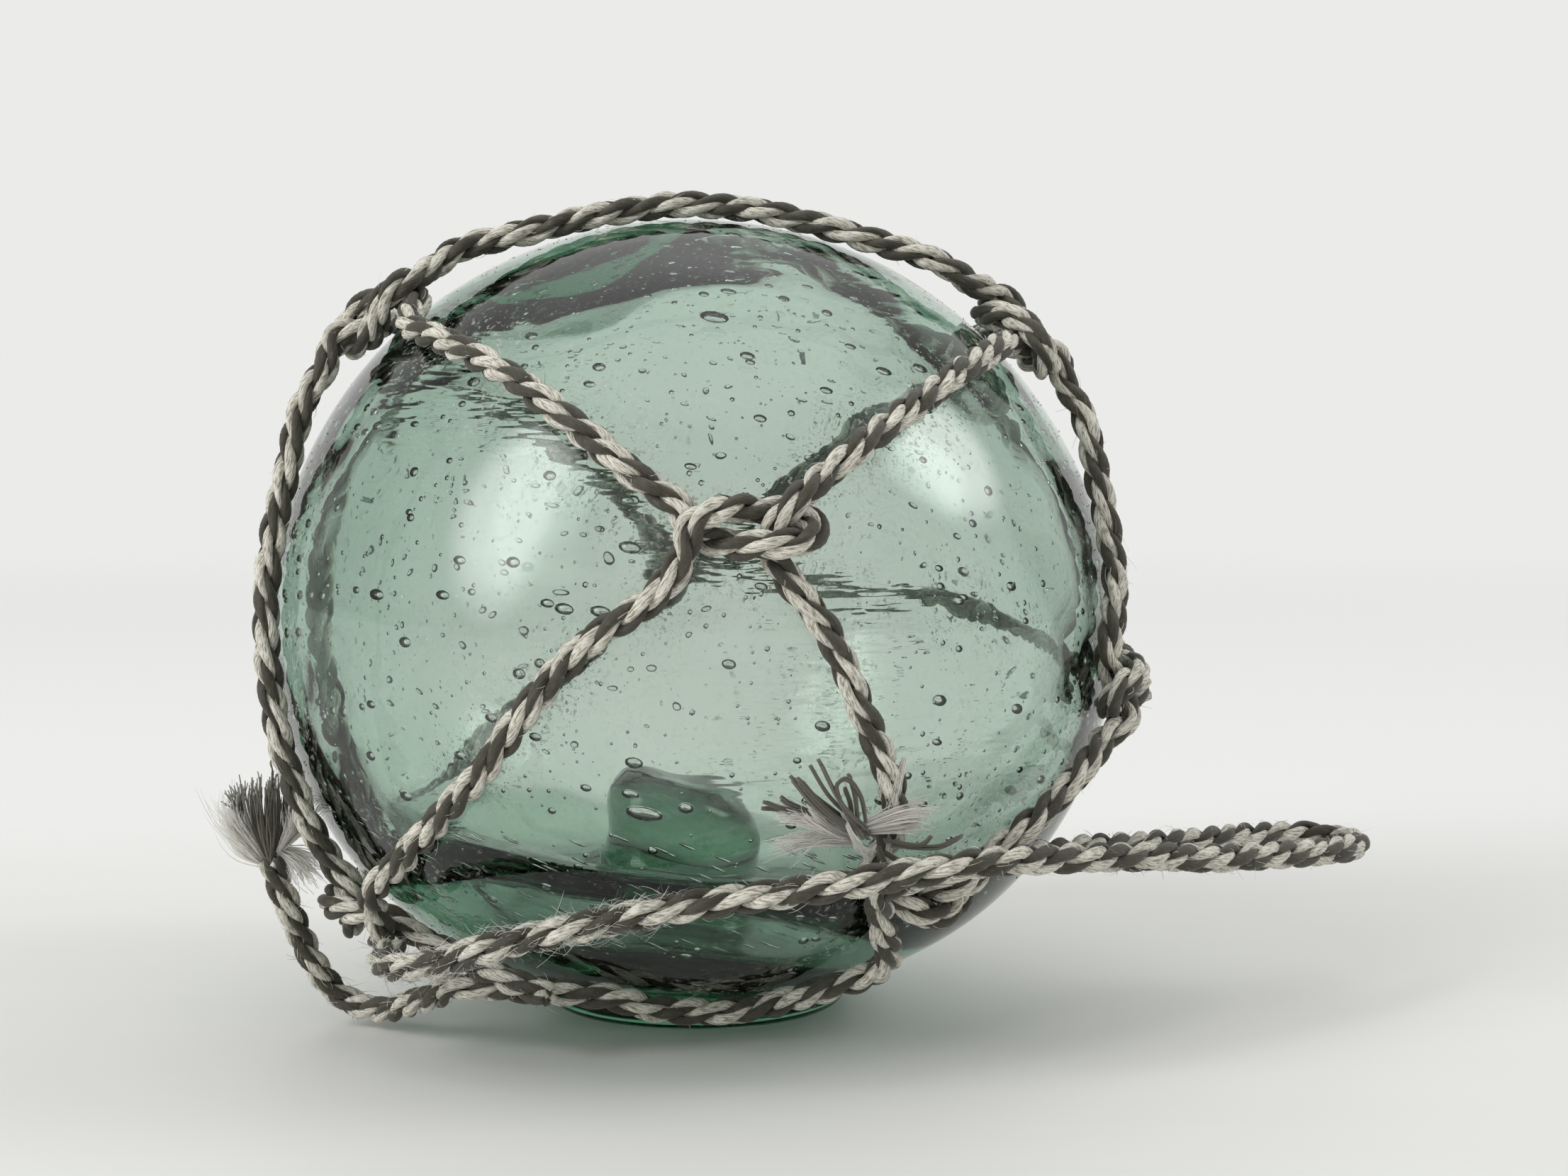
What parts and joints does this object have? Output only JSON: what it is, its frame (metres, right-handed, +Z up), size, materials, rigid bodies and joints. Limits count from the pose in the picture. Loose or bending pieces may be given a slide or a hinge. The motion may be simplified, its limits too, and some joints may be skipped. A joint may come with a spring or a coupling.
{
  "type": "glass float ball",
  "caption": "Blown glass float in a knotted net of twisted cord, with a hanging loop and a frayed tail.",
  "frame": {"origin": "middle of the seal's flat underside, on which the float stands", "axes": "+Z up; -Y towards the side that the hanging loop crosses; +X to the side where the loop sticks out"},
  "size_m": [0.1335, 0.111, 0.0965],
  "materials": {
    "glass": "clear pale sea-green glass with small bubbles",
    "cord": "twisted dark grey and off-white yarns, a little dirty",
    "loop_cord": "twisted dark grey and off-white yarns, fuzzy",
    "tail_cord": "twisted dark grey and off-white yarns, frayed at the end"
  },
  "bodies": {
    "root": {"glass_float": "glass", "cord_net": "cord", "hanging_loop": "loop_cord", "left_tail": "tail_cord"}
  },
  "joints": []
}
